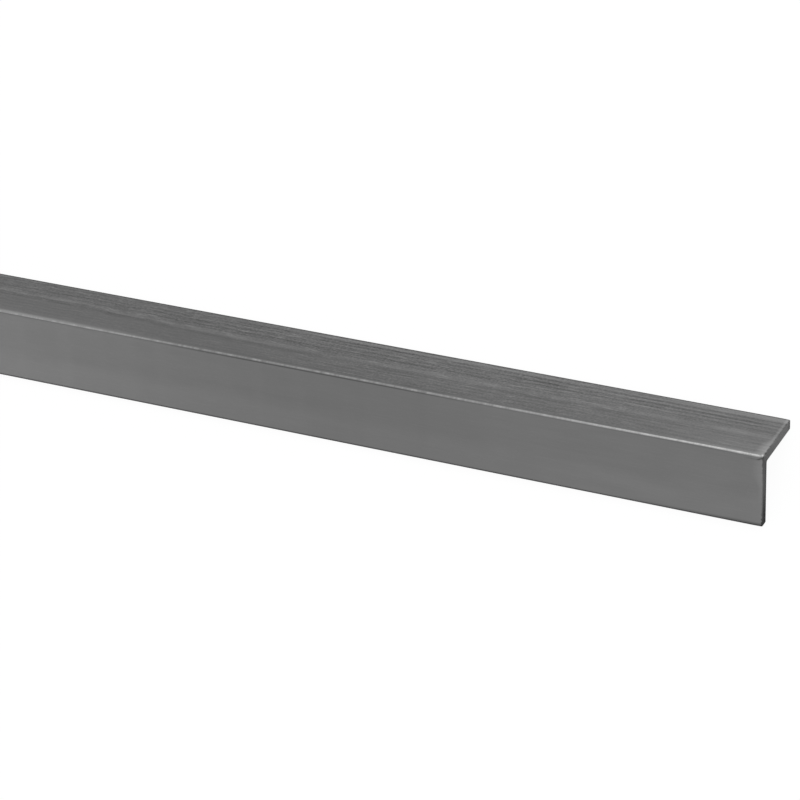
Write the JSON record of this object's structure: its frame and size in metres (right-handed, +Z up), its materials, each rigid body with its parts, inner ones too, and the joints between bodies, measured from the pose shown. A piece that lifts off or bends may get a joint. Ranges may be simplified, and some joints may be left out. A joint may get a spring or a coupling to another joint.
{
  "type": "steel angle section",
  "caption": "Straight length of equal-leg steel angle with sharp edges, cut square at both ends and lying heel up on its toes.",
  "frame": {"origin": "on the floor, under the middle of the bar", "axes": "+X along the bar, +Y to the rear, +Z up through the heel"},
  "size_m": [1, 0.0422, 0.0235],
  "materials": {
    "drawn_steel": "dark drawn steel skin with fine lengthwise die lines, bare and uncoated"
  },
  "bodies": {
    "root": {"angle_bar": "drawn_steel"}
  },
  "joints": []
}
